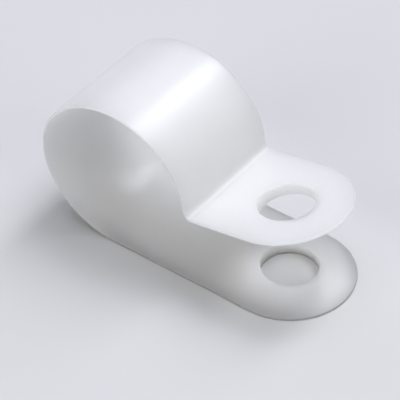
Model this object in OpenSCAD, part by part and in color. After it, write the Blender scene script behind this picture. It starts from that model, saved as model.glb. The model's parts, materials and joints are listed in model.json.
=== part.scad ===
// P clip for one cable or pipe, moulded in one piece.
// A strap with a flat outer face and a crowned inner face lies flat, goes up round the cable,
// turns out at a sharp crease and ends in a tab above its own start.
// One screw goes down through both tabs and closes the clip.
// Units are millimetres. The lower screw hole stands on the origin and the clip lies on z = 0.

/* [Strap] */
// Width of the strap and of both tabs
strap_w = 10; // [8:0.5:12]
// Thickness along the middle of the strap
strap_t = 1.1; // [0.9:0.1:1.4]
// Thickness at the strap's two rounded edges
edge_t = 0.2; // [0.15:0.05:0.5]

/* [Loop] */
// Width of the loop over its outer face
loop_w = 13.3; // [11.5:0.1:16]
// Height of the loop over its outer face
loop_h = 12.5; // [11.5:0.1:15]
// How far short of level with its middle the loop stops, in degrees
loop_end = 3; // [0:0.5:10]

/* [Tabs] */
// Distance from the bottom of the loop to the lower screw hole
lower_reach = 12.5; // [11.5:0.1:16]
// Distance from the crease to the upper screw hole
upper_reach = 5; // [4.6:0.1:6]
// Tilt of the upper tab before the screw pulls it down, in degrees
upper_tilt = 9.5; // [0:0.5:14]
// Radius in the corner of the crease
crease_r = 0.5; // [0.2:0.1:1]

/* [Screw holes] */
// Diameter of the hole in the lower tab
lower_hole_d = 4.4; // [3.2:0.1:5.2]
// Diameter of the hole in the upper tab
upper_hole_d = 4.4; // [3.2:0.1:5.2]

/* [Hidden] */
$fn = 128;
weld_scale = 0.01;               // the stretches of the strap are joined at this scale
eps = 0.5;                       // how far a cutting tool runs past the face it cuts

nylon = [0.93, 0.93, 0.92];

// The strap's section: two edge rounds, and a crown that comes down onto them at a slight corner
edge_r = edge_t / 2;
round_y = strap_w / 2 - edge_r;   // middle of an edge round, from the strap's centre line
crown_fall = 2 * atan((strap_t - edge_t) / (strap_w / 2));   // slope at the crown's foot
corner = 12;                      // turn between the crown's foot and the edge round
foot_x = edge_r + edge_r * cos(crown_fall - corner);         // depth of the crown's foot
foot_y = round_y + edge_r * sin(crown_fall - corner);
crown_end_y = round_y + edge_r * sin(crown_fall);            // just inside the edge round
crown_h = strap_t - foot_x;
crown_r = (foot_y * foot_y + crown_h * crown_h) / (2 * crown_h);

// The loop: an oval of four arcs, two for the sides and two for the top and bottom
quarter = 45;
arc_step = (loop_w - loop_h) / 2 / (sqrt(2) - 1);
side_r = loop_w / 2 - arc_step * cos(quarter);
flat_r = side_r + arc_step;
side_x = arc_step * cos(quarter);          // centres of the side arcs, left and right
flat_z = arc_step * sin(quarter);          // centres of the top and bottom arcs
mid_z = loop_h / 2;                        // level of the loop's middle

// The crease: its centre lies outside the loop, in line with the loop's last normal
crease_x = side_x + (side_r + crease_r) * cos(loop_end);
crease_z = mid_z + (side_r + crease_r) * sin(loop_end);
upper_x = crease_x + crease_r * sin(upper_tilt);   // where the upper tab starts
upper_z = crease_z - crease_r * cos(upper_tilt);

// Section of the strap: x runs from the outer face inward, y across the strap
module strap_section() {
    intersection() {
        translate([strap_t - crown_r, 0]) circle(r = crown_r);
        polygon([
            [0, -round_y], [0, round_y], [edge_r, round_y], [edge_r, crown_end_y],
            [strap_t, crown_end_y], [strap_t, -crown_end_y], [edge_r, -crown_end_y],
            [edge_r, -round_y]
        ]);
    }
    for (side = [-1, 1])
        translate([edge_r, side * round_y]) circle(r = edge_r);
}

// One arc of the loop: outer radius r, from angle a over span degrees, about (x, z)
module loop_arc(x, z, r, a, span) {
    translate([x, 0, z]) rotate([90, 0, 0]) rotate([0, 0, a])
        rotate_extrude(angle = span)
            translate([r, 0]) mirror([1, 0]) strap_section();
}

// A tab: a straight of the given length, its round end and its screw hole.
// The outer face lies on z = 0 with the strap's thickness above it.
module tab(length, hole_d) {
    difference() {
        union() {
            rotate([0, -90, 0]) mirror([0, 0, 1])
                linear_extrude(height = length) strap_section();
            translate([length, 0, 0]) rotate([0, 0, -90])
                rotate_extrude(angle = 180)
                    intersection() {
                        mirror([1, -1]) strap_section();
                        square([strap_w, strap_t]);
                    }
        }
        translate([length, 0, -eps]) cylinder(d = hole_d, h = strap_t + 2 * eps);
    }
}

// The crease turns the strap the other way, so the outer face lies inside its corner
module crease() {
    translate([crease_x, 0, crease_z]) rotate([90, 0, 0]) rotate([0, 0, 180 + loop_end])
        rotate_extrude(angle = 90 + upper_tilt - loop_end)
            translate([crease_r, 0]) strap_section();
}

// Brings the stretches together a hundred times smaller, where a rounding gap closes by itself
module weld() {
    scale(1 / weld_scale) union()
        for (i = [0:$children - 1])
            scale(weld_scale) children(i);
}

module clip() {
    color(nylon) translate([-lower_reach, 0, 0]) weld() {
        tab(lower_reach, lower_hole_d);
        loop_arc(0, mid_z + flat_z, flat_r, 270 - quarter, quarter);
        loop_arc(-side_x, mid_z, side_r, 180 - quarter, 2 * quarter);
        loop_arc(0, mid_z - flat_z, flat_r, 90 - quarter, 2 * quarter);
        loop_arc(side_x, mid_z, side_r, loop_end, quarter - loop_end);
        crease();
        translate([upper_x, 0, upper_z]) rotate([0, -upper_tilt, 0])
            mirror([0, 0, 1]) tab(upper_reach, upper_hole_d);
    }
}

clip();
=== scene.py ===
"""P clip: a springy strap of natural nylon, moulded in one piece, closed by one screw through two tabs."""

import json
import math

import bmesh
import bpy
from mathutils import Matrix, Vector


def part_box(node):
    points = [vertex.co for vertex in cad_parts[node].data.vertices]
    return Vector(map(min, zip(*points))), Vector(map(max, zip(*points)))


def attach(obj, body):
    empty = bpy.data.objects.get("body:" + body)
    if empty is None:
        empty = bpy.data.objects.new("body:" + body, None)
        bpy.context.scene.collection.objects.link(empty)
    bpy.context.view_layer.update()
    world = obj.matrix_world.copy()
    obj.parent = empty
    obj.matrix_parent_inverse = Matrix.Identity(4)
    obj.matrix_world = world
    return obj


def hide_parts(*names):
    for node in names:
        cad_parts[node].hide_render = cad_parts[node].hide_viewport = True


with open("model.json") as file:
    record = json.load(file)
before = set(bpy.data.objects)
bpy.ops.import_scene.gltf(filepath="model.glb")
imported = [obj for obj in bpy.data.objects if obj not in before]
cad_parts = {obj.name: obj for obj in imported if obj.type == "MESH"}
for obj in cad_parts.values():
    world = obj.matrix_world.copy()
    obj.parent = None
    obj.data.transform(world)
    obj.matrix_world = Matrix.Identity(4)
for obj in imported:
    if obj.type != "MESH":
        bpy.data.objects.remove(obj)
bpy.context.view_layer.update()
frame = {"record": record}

MM = 0.001
SAME_PLACE = 0.002 * MM                 # two points closer than this are one point

# ---- Sizes of the clip, in metres --------------------------------------------------------------
clip_low, clip_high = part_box("clip")
mounts = {mount["name"]: mount for mount in frame["record"]["mounts"]}

STRAP_W = clip_high.y - clip_low.y      # strap and tabs
STRAP_T = 1.1 * MM                      # along the middle of the crowned strap
EDGE_R = 0.1 * MM                       # round of the strap's two edges
LOOP_W = 13.3 * MM
LOOP_H = 12.5 * MM
LOOP_END = math.radians(3)              # the loop stops this far above its middle
LOWER_REACH = 12.5 * MM                 # from the bottom of the loop to the lower hole
UPPER_REACH = 5 * MM                    # from the crease to the upper hole
UPPER_TILT = math.radians(9.5)
CREASE_R = 0.5 * MM
HOLE_R = mounts["lower_screw_hole"]["dims"]["r_mm"] * MM
RIM_R = 0.06 * MM                       # the slight round a moulding has on the rims of its holes
HOLE_ROW = 3.2 * MM                     # the strap's last straight row before the middle of a hole

# The crown of the strap's inner face, and where it comes down onto the edge round
CREST_FALL = 2 * math.atan((STRAP_T - 2 * EDGE_R) / (STRAP_W / 2))
FOOT_TURN = CREST_FALL - math.radians(12)
FOOT_Y = STRAP_W / 2 - EDGE_R + EDGE_R * math.sin(FOOT_TURN)
FOOT_Z = EDGE_R + EDGE_R * math.cos(FOOT_TURN)
CROWN_R = (FOOT_Y ** 2 + (STRAP_T - FOOT_Z) ** 2) / (2 * (STRAP_T - FOOT_Z))

# The loop's four arcs: their radii, and how far their centres stand from the loop's middle
ARC_STEP = (LOOP_W - LOOP_H) / 2 / (math.sqrt(2) - 1)
SHIFT = ARC_STEP * math.sin(math.radians(45))
SIDE_R = LOOP_W / 2 - SHIFT
LOOP_X = -LOWER_REACH
LOOP_Z = LOOP_H / 2

# Steps of the mesh
HOLE_STEPS = 12                         # to a quarter of a hole
EDGE_COLUMNS = 7                        # from a hole's rim line to the strap's edge
EDGE_STEPS = 8                          # round an edge
RIM_STEPS = 4                           # round a hole's rim
ARC_STEP_ANGLE = math.radians(2.5)
CREASE_STEP_ANGLE = math.radians(5)
LOWER_ROWS = 6
UPPER_ROWS = 2


def crown_height(y):
    """Height of the crowned face over the flat one, at the distance y from the middle line."""
    return STRAP_T - CROWN_R + math.sqrt(CROWN_R ** 2 - y ** 2)


# ---- Hand tools ---------------------------------------------------------------------------------
def start_on(piece):
    """Opens one object for editing, with nothing picked."""
    if bpy.context.object and bpy.context.object.mode != "OBJECT":
        bpy.ops.object.mode_set(mode="OBJECT")
    bpy.ops.object.select_all(action="DESELECT")
    piece.select_set(True)
    bpy.context.view_layer.objects.active = piece
    bpy.ops.object.mode_set(mode="EDIT")
    bpy.ops.mesh.select_mode(type="VERT")
    bpy.ops.mesh.select_all(action="DESELECT")


def pick_points(place):
    """Picks the points whose place passes the test, and the edges and faces between them."""
    mesh = bmesh.from_edit_mesh(bpy.context.object.data)
    for point in mesh.verts:
        point.select_set(False)
    for point in mesh.verts:
        if place(point.co):
            point.select_set(True)
    mesh.select_flush(True)
    bmesh.update_edit_mesh(bpy.context.object.data)


def pick_edges(place):
    """Picks the edges whose two ends both pass the test."""
    bpy.ops.mesh.select_mode(type="EDGE")
    mesh = bmesh.from_edit_mesh(bpy.context.object.data)
    for edge in mesh.edges:
        edge.select_set(False)
    for edge in mesh.edges:
        if all(place(point.co) for point in edge.verts):
            edge.select_set(True)
    bmesh.update_edit_mesh(bpy.context.object.data)


def pull_points(x=0.0, y=0.0, z=0.0):
    bpy.ops.mesh.extrude_vertices_move(TRANSFORM_OT_translate={"value": (x, y, z)})


def pull_edges(x=0.0, y=0.0, z=0.0):
    bpy.ops.mesh.extrude_edges_move(TRANSFORM_OT_translate={"value": (x, y, z)})


def sweep(x, z, angle, step=ARC_STEP_ANGLE):
    """Spins the picked section about a line across the strap, through x and z.
    A positive angle takes the bottom of a circle towards -X; the spin tool counts it the other way."""
    steps = max(2, round(abs(angle) / step))
    bpy.ops.mesh.spin(steps=steps, angle=-angle, center=(x, 0, z), axis=(0, 1, 0))


def is_near(a, b):
    return abs(a - b) < SAME_PLACE


# ---- The tab and its hole -----------------------------------------------------------------------
def section_columns():
    """Distances from the middle line at which the section has its points, out to the crown's foot."""
    rim_line = HOLE_R + RIM_R
    columns = [rim_line * math.sin(math.radians(90 * i / HOLE_STEPS)) for i in range(HOLE_STEPS + 1)]
    gap = (FOOT_Y - rim_line) / EDGE_COLUMNS
    return columns + [rim_line + gap * i for i in range(1, EDGE_COLUMNS + 1)]


def draw_section(columns):
    """The strap's section across x = -HOLE_ROW: crown, edge round and flat face, then its mirror image."""
    bpy.ops.object.select_all(action="DESELECT")
    bpy.ops.mesh.primitive_plane_add(size=STRAP_T, location=(-HOLE_ROW, 0, STRAP_T))
    piece = bpy.context.object
    bpy.ops.object.transform_apply(location=True, rotation=True, scale=True)
    start_on(piece)
    bpy.ops.mesh.select_all(action="SELECT")
    bpy.ops.mesh.merge(type="CENTER")
    for inner, outer in zip(columns, columns[1:]):
        pull_points(y=outer - inner, z=crown_height(outer) - crown_height(inner))
    bpy.ops.mesh.spin(steps=EDGE_STEPS, angle=math.pi - FOOT_TURN,
                      center=(-HOLE_ROW, STRAP_W / 2 - EDGE_R, EDGE_R), axis=(1, 0, 0))
    flat_columns = [STRAP_W / 2 - EDGE_R] + columns[-2::-1]
    for outer, inner in zip(flat_columns, flat_columns[1:]):
        pull_points(y=inner - outer)
    bpy.ops.object.mode_set(mode="OBJECT")
    mirror = piece.modifiers.new("other half", "MIRROR")
    mirror.use_axis = (False, True, False)
    mirror.merge_threshold = SAME_PLACE
    bpy.ops.object.modifier_apply(modifier=mirror.name)
    return piece


def model_tab():
    """One tab, flat face down on z = 0 and its hole on the Z axis, with its open end at x = -HOLE_ROW."""
    columns = section_columns()
    rim_line = HOLE_R + RIM_R
    tab = draw_section(columns)

    # The last straight row ends on a line through the hole's middle, drawn back to the hole's rim
    start_on(tab)
    pick_edges(lambda place: True)
    pull_edges(x=HOLE_ROW)
    bpy.ops.mesh.select_mode(type="VERT")
    for column in columns[:HOLE_STEPS]:
        pick_points(lambda place: is_near(place.x, 0) and is_near(abs(place.y), column))
        bpy.ops.transform.translate(value=(-math.sqrt(rim_line ** 2 - column ** 2), 0, 0))

    # The rest of that line turns half round the hole to close the tab's end
    pick_edges(lambda place: is_near(place.x, 0) and place.y > rim_line - SAME_PLACE)
    bpy.ops.mesh.spin(steps=2 * HOLE_STEPS, angle=math.pi, center=(0, 0, 0), axis=(0, 0, 1))
    bpy.ops.mesh.select_all(action="SELECT")
    bpy.ops.mesh.remove_doubles(threshold=SAME_PLACE)

    # Both rims turn down into the hole, and the wall joins them
    for face, down in (("flat", 1), ("crowned", -1)):
        pick_edges(lambda place: is_near(math.hypot(place.x, place.y), rim_line)
                   and (place.z > STRAP_T / 2) == (face == "crowned"))
        was_out, was_in = rim_line, 0.0
        for step in range(1, RIM_STEPS + 1):
            turn = math.radians(90 * step / RIM_STEPS)
            out, into = rim_line - RIM_R * math.sin(turn), RIM_R * (1 - math.cos(turn))
            pull_edges(z=down * (into - was_in))
            bpy.ops.transform.resize(value=(out / was_out, out / was_out, 1), center_override=(0, 0, 0))
            was_out, was_in = out, into
    pick_edges(lambda place: is_near(math.hypot(place.x, place.y), HOLE_R))
    bpy.ops.mesh.bridge_edge_loops(number_cuts=2)
    bpy.ops.object.mode_set(mode="OBJECT")
    return tab


# ---- The whole strap ----------------------------------------------------------------------------
def model_clip():
    lower = model_tab()
    lower.name = "clip_strap"

    # The upper tab is the same, turned over, tilted, and set at the end of its reach from the crease
    crease_x = SHIFT + (SIDE_R + CREASE_R) * math.cos(LOOP_END)
    crease_z = LOOP_Z + (SIDE_R + CREASE_R) * math.sin(LOOP_END)
    start_x = LOOP_X + crease_x + CREASE_R * math.sin(UPPER_TILT)
    start_z = crease_z - CREASE_R * math.cos(UPPER_TILT)
    along = Vector((math.cos(UPPER_TILT), 0, math.sin(UPPER_TILT)))
    bpy.ops.object.duplicate()
    upper = bpy.context.object
    upper.scale = (1, 1, -1)
    upper.rotation_euler = (0, -UPPER_TILT, 0)
    upper.location = Vector((start_x, 0, start_z)) + along * UPPER_REACH
    bpy.ops.object.transform_apply(location=True, rotation=True, scale=True)

    bpy.ops.object.select_all(action="DESELECT")
    upper.select_set(True)
    lower.select_set(True)
    bpy.context.view_layer.objects.active = lower
    bpy.ops.object.join()

    # From the lower tab back along the panel, round the loop, out at the crease and up to the upper tab
    start_on(lower)
    pick_edges(lambda place: is_near(place.x, -HOLE_ROW) and place.z < STRAP_T + SAME_PLACE)
    for row in range(LOWER_ROWS):
        pull_edges(x=(HOLE_ROW - LOWER_REACH) / LOWER_ROWS)
    eighth = math.radians(45)
    sweep(LOOP_X, LOOP_Z + SHIFT, eighth)
    sweep(LOOP_X - SHIFT, LOOP_Z, 2 * eighth)
    sweep(LOOP_X, LOOP_Z - SHIFT, 2 * eighth)
    sweep(LOOP_X + SHIFT, LOOP_Z, eighth - LOOP_END)
    sweep(LOOP_X + crease_x, crease_z, -(math.radians(90) + UPPER_TILT - LOOP_END), step=CREASE_STEP_ANGLE)
    row = along * (UPPER_REACH - HOLE_ROW) / UPPER_ROWS
    for _ in range(UPPER_ROWS):
        pull_edges(x=row.x, z=row.z)
    bpy.ops.mesh.select_all(action="SELECT")
    bpy.ops.mesh.remove_doubles(threshold=SAME_PLACE)
    bpy.ops.mesh.normals_make_consistent(inside=False)
    bpy.ops.object.mode_set(mode="OBJECT")
    return lower


# ---- Natural nylon ------------------------------------------------------------------------------
NYLON = (0.86, 0.86, 0.85)
NYLON_CLOUD = (0.80, 0.80, 0.785)       # where the resin is a little cloudier
NYLON_IOR = 1.53
GLOW_DEPTH = 2.5 * MM                   # how far light gets inside the nylon
CLOUDS_PER_METRE = 260
SATIN = (0.29, 0.36)                    # roughness that the mould leaves, from smoothest to dullest
CLOUD_SPAN = (0.3, 0.7)                 # the part of the cloud pattern that this range is spread over
GRAINS_PER_METRE = 4000
GRAIN_STRENGTH = 0.15
GRAIN_DEPTH = 0.01 * MM


def noise(nodes, links, place, scale, detail):
    pattern = nodes.new("ShaderNodeTexNoise")
    pattern.inputs["Scale"].default_value = scale
    pattern.inputs["Detail"].default_value = detail
    links.new(place.outputs["Object"], pattern.inputs["Vector"])
    return pattern.outputs["Fac"]


def natural_nylon():
    material = bpy.data.materials.new("natural_nylon")
    material.use_nodes = True
    nodes, links = material.node_tree.nodes, material.node_tree.links
    nylon = nodes["Principled BSDF"]
    nylon.inputs["IOR"].default_value = NYLON_IOR
    nylon.inputs["Subsurface Weight"].default_value = 1.0
    nylon.inputs["Subsurface Radius"].default_value = (1.0, 1.0, 1.0)
    nylon.inputs["Subsurface Scale"].default_value = GLOW_DEPTH
    place = nodes.new("ShaderNodeTexCoord")

    # Cloudiness of the resin
    cloud = noise(nodes, links, place, CLOUDS_PER_METRE, detail=3)
    tone = nodes.new("ShaderNodeMix")
    tone.data_type = "RGBA"
    tone.inputs["A"].default_value = (*NYLON, 1)
    tone.inputs["B"].default_value = (*NYLON_CLOUD, 1)
    links.new(cloud, tone.inputs["Factor"])
    links.new(tone.outputs["Result"], nylon.inputs["Base Color"])

    # The mould's satin finish, a little duller here and there
    satin = nodes.new("ShaderNodeMapRange")
    satin.inputs["From Min"].default_value, satin.inputs["From Max"].default_value = CLOUD_SPAN
    satin.inputs["To Min"].default_value, satin.inputs["To Max"].default_value = SATIN
    links.new(cloud, satin.inputs["Value"])
    links.new(satin.outputs["Result"], nylon.inputs["Roughness"])

    # Fine grain of the moulded skin
    bump = nodes.new("ShaderNodeBump")
    bump.inputs["Strength"].default_value = GRAIN_STRENGTH
    bump.inputs["Distance"].default_value = GRAIN_DEPTH
    links.new(noise(nodes, links, place, GRAINS_PER_METRE, detail=2), bump.inputs["Height"])
    links.new(bump.outputs["Normal"], nylon.inputs["Normal"])
    return material


# ---- Floor, light and camera --------------------------------------------------------------------
FLOOR = (0.70, 0.70, 0.695)
FLOOR_SIDE = 4
FLOOR_GAP = 0.02 * MM                   # so that the floor and the clip's underside don't share a plane
BACKDROP = (0.78, 0.79, 0.81)           # what is seen past the floor; it lights nothing
DAYLIGHT = (0.975, 0.985, 1.05)
SKY = (0.90, 0.94, 1.14)
WARM = (1.02, 1.005, 0.96)
LAMP_AWAY = 1.2
# The softboxes: name, azimuth, elevation, width, height, the light they lay on a facing surface, tint
SOFTBOXES = [
    ("key_softbox", 89, 54, 0.30, 0.90, 0.27, DAYLIGHT),
    ("back_softbox", 60, 65, 0.72, 0.72, 0.40, DAYLIGHT),
    ("top_softbox", 0, 90, 1.0, 1.0, 0.21, SKY),
    ("left_back_softbox", 150, 60, 0.88, 0.88, 0.155, SKY),
    ("front_softbox", -100, 30, 0.88, 0.88, 0.39, WARM),
    ("right_softbox", 0, 30, 0.88, 0.88, 0.20, WARM),
]

CAMERA_AZIMUTH, CAMERA_ELEVATION, CAMERA_ROLL = (math.radians(a) for a in (38.1126, 41.675, -1.3213))
CAMERA_AWAY = 187.2988 * MM
CAMERA_AIM = Vector((-7.5, 0, 6)) * MM  # inside the loop's right side
CAMERA_SLIDE = Vector((-0.5653, -1.9854)) * MM   # then moved this far to its own right and up
LENS = 229.0077                         # mm, on a 36 mm sensor


def lay_floor():
    bpy.ops.object.select_all(action="DESELECT")
    bpy.ops.mesh.primitive_plane_add(size=FLOOR_SIDE, location=(0, 0, clip_low.z - FLOOR_GAP))
    floor = bpy.context.object
    floor.name = "floor"
    card = bpy.data.materials.new("floor_card")
    card.use_nodes = True
    surface = card.node_tree.nodes["Principled BSDF"]
    surface.inputs["Base Color"].default_value = (*FLOOR, 1)
    surface.inputs["Roughness"].default_value = 0.9
    surface.inputs["Specular IOR Level"].default_value = 0.1
    floor.data.materials.append(card)


def softbox(name, azimuth, elevation, width, height, irradiance, tint):
    """A lamp that faces the clip from a compass direction about Z."""
    azimuth, elevation = math.radians(azimuth), math.radians(elevation)
    away = Vector((math.cos(azimuth) * math.cos(elevation), math.sin(azimuth) * math.cos(elevation),
                   math.sin(elevation)))
    lamp = bpy.data.lights.new(name, "AREA")
    lamp.shape = "RECTANGLE"
    lamp.size, lamp.size_y = width, height
    lamp.color = tint
    lamp.energy = irradiance * math.pi * math.pi * LAMP_AWAY ** 2
    stand = bpy.data.objects.new(name, lamp)
    bpy.context.scene.collection.objects.link(stand)
    stand.location = Vector((LOOP_X / 2, 0, LOOP_Z)) + away * LAMP_AWAY
    stand.rotation_euler = away.to_track_quat("Z", "Y").to_euler()
    stand.visible_camera = False


def light_room():
    world = bpy.data.worlds.new("room")
    world.use_nodes = True
    nodes, links = world.node_tree.nodes, world.node_tree.links
    backdrop = nodes["Background"]
    backdrop.inputs["Color"].default_value = (*BACKDROP, 1)
    ray = nodes.new("ShaderNodeLightPath")
    links.new(ray.outputs["Is Camera Ray"], backdrop.inputs["Strength"])
    bpy.context.scene.world = world
    for lamp in SOFTBOXES:
        softbox(*lamp)


def place_camera():
    back = Vector((math.sin(CAMERA_AZIMUTH) * math.cos(CAMERA_ELEVATION),
                   -math.cos(CAMERA_AZIMUTH) * math.cos(CAMERA_ELEVATION), math.sin(CAMERA_ELEVATION)))
    level = Vector((math.cos(CAMERA_AZIMUTH), math.sin(CAMERA_AZIMUTH), 0))
    rise = back.cross(level)
    right = level * math.cos(CAMERA_ROLL) + rise * math.sin(CAMERA_ROLL)
    up = rise * math.cos(CAMERA_ROLL) - level * math.sin(CAMERA_ROLL)
    data = bpy.data.cameras.new("camera")
    data.sensor_width = 36
    data.lens = LENS
    data.clip_start = 0.01
    camera = bpy.data.objects.new("camera", data)
    bpy.context.scene.collection.objects.link(camera)
    spot = CAMERA_AIM + back * CAMERA_AWAY + right * CAMERA_SLIDE.x + up * CAMERA_SLIDE.y
    camera.matrix_world = Matrix.Translation(spot) @ Matrix((right, up, back)).transposed().to_4x4()
    bpy.context.scene.camera = camera


# ---- Put together -------------------------------------------------------------------------------
clip = model_clip()
clip.data.materials.clear()
clip.data.materials.append(natural_nylon())
bpy.ops.object.select_all(action="DESELECT")
clip.select_set(True)
bpy.context.view_layer.objects.active = clip
bpy.ops.object.shade_smooth()
even = clip.modifiers.new("even shading", "WEIGHTED_NORMAL")
even.mode = "FACE_AREA"
even.weight = 50
even.keep_sharp = True
bpy.ops.object.modifier_apply(modifier=even.name)

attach(clip, "root")
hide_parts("clip")

lay_floor()
light_room()
place_camera()
bpy.context.scene.view_settings.view_transform = "Standard"
